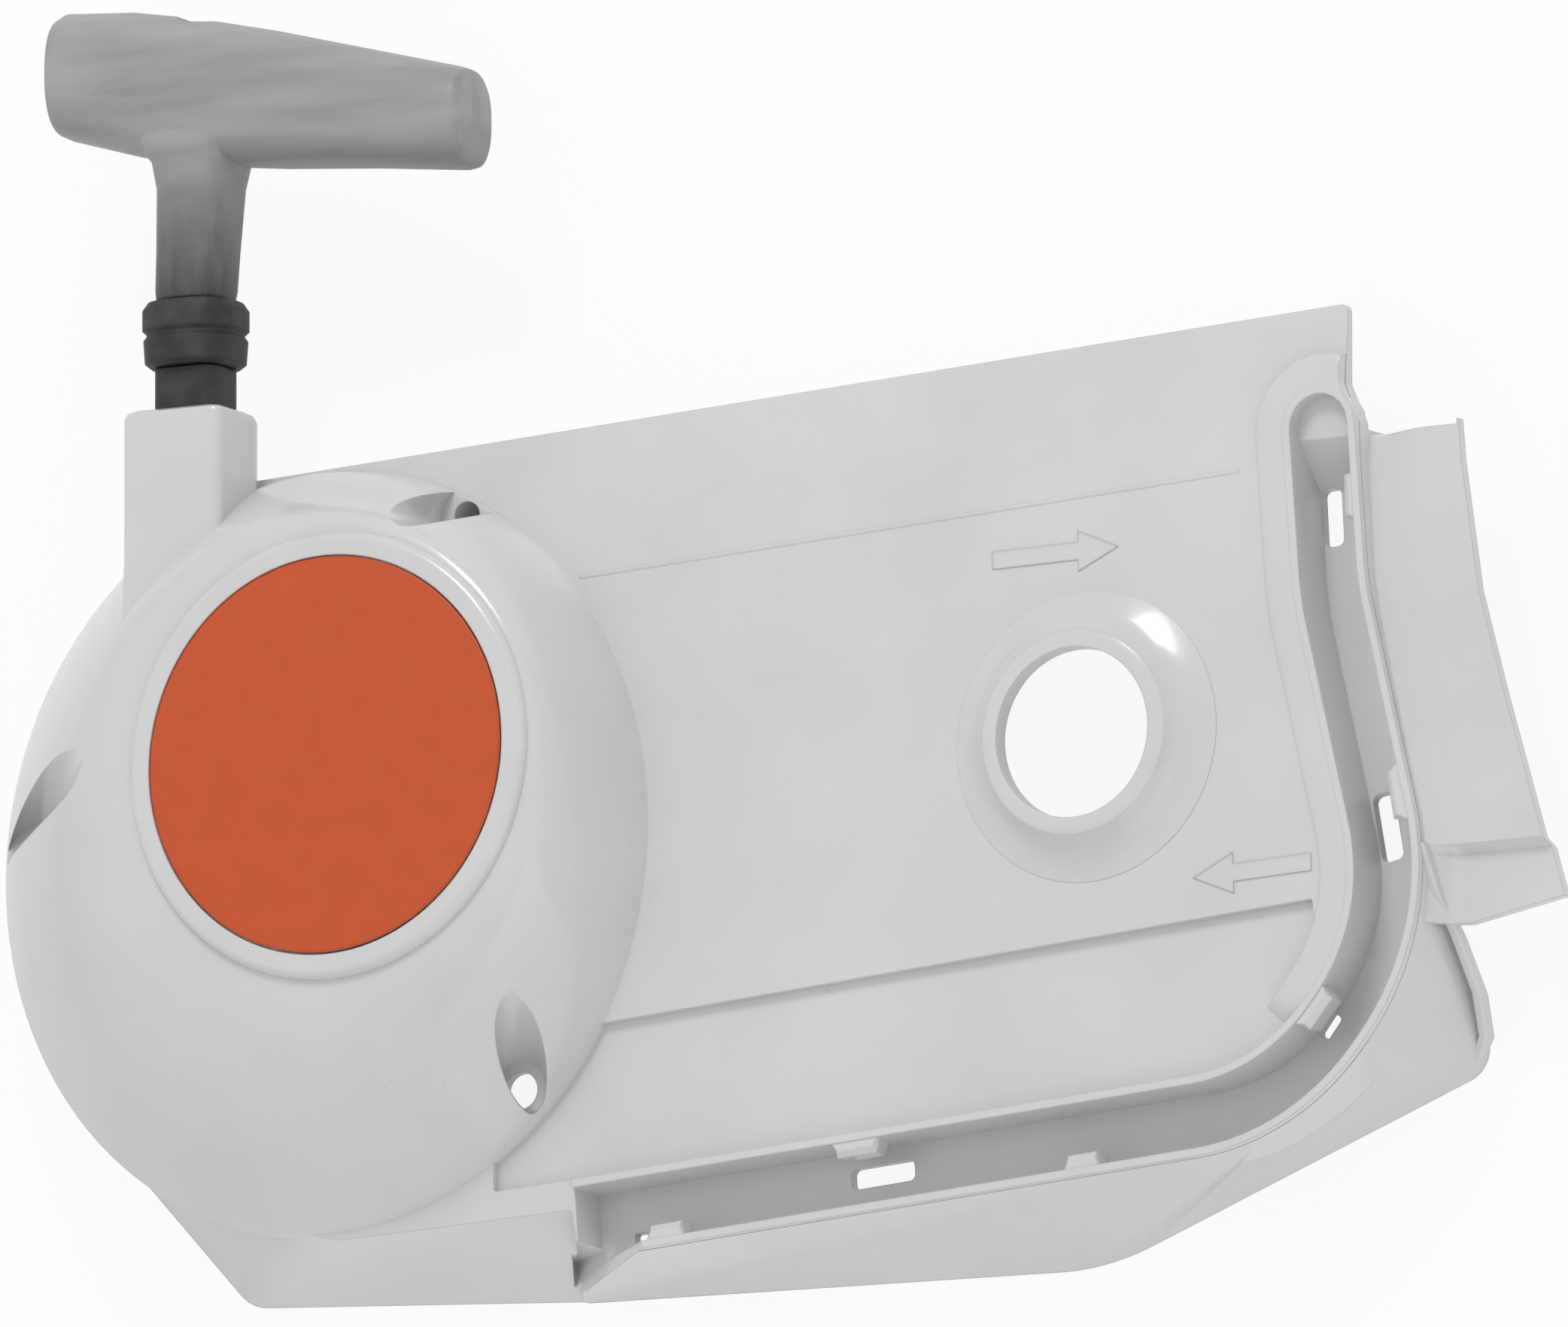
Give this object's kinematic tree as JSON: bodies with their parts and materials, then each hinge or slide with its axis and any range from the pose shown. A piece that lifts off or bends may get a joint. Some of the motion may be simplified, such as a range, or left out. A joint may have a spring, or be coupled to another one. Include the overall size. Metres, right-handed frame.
{
  "type": "recoil starter cover",
  "caption": "Moulded fan housing cover with a domed recoil starter, a T-handle on its rope tower, a collared through hole, a hooked sealing groove and a side flange.",
  "frame": {"origin": "middle of the bounding box in plan, at the plane of the skirt's rim, on which the cover lies", "axes": "+X along the plate, from the dome towards the side flange; +Y the way the rope is pulled; +Z out of the cover's face, along the rotor's axis"},
  "size_m": [0.3158, 0.239, 0.0503],
  "materials": {
    "moulded_cover": "light grey moulded plastic, semi-gloss, finely textured",
    "badge_orange": "plain orange disc, satin, bare",
    "grip_rubber": "mid grey worn soft plastic with streaks",
    "collar_rubber": "near-black soft rubber",
    "rotor_nylon": "black glass-filled nylon",
    "spring_steel": "plain steel, lightly oiled",
    "rope_fibre": "braided starter rope"
  },
  "bodies": {
    "cover": {"housing": "moulded_cover", "badge_disc": "badge_orange", "rope_bush": "spring_steel", "starter_post": "spring_steel", "spring_case": "rotor_nylon", "spring_cover": "spring_steel", "recoil_spring": "spring_steel", "rotor_washer": "spring_steel", "retaining_clip": "spring_steel"},
    "handle": {"grip": "grip_rubber", "grip_collar": "collar_rubber", "grip_insert": "collar_rubber", "rope_knot": "rope_fibre", "rope_run": "rope_fibre"},
    "rotor": {"rope_rotor": "rotor_nylon", "rope_coil": "rope_fibre", "pawl_spring": "spring_steel"},
    "pawl": {"pawl": "spring_steel"}
  },
  "joints": [
    {"name": "handle_pull", "type": "slide", "parent": "cover", "child": "handle", "axis": [0, 1, 0], "range_m": [0, 0.75], "stiffness_N_per_m": 6, "springref_m": -0.6},
    {"name": "rotor_spin", "type": "hinge", "parent": "cover", "child": "rotor", "pos_m": [-0.07662, -0.02343, 0.0326], "axis": [0, 0, 1], "range_deg": [-1240, 0]},
    {"name": "pawl_swing", "type": "hinge", "parent": "rotor", "child": "pawl", "pos_m": [-0.05663, -0.02343, 0.026], "axis": [0, 0, -1], "range_deg": [0, 25], "stiffness_Nm_per_rad": 0.001, "springref_deg": -28.65}
  ],
  "couplings": [
    {"joint": "rotor_spin", "follows": "handle_pull", "rad_per_m": -28.409}
  ]
}
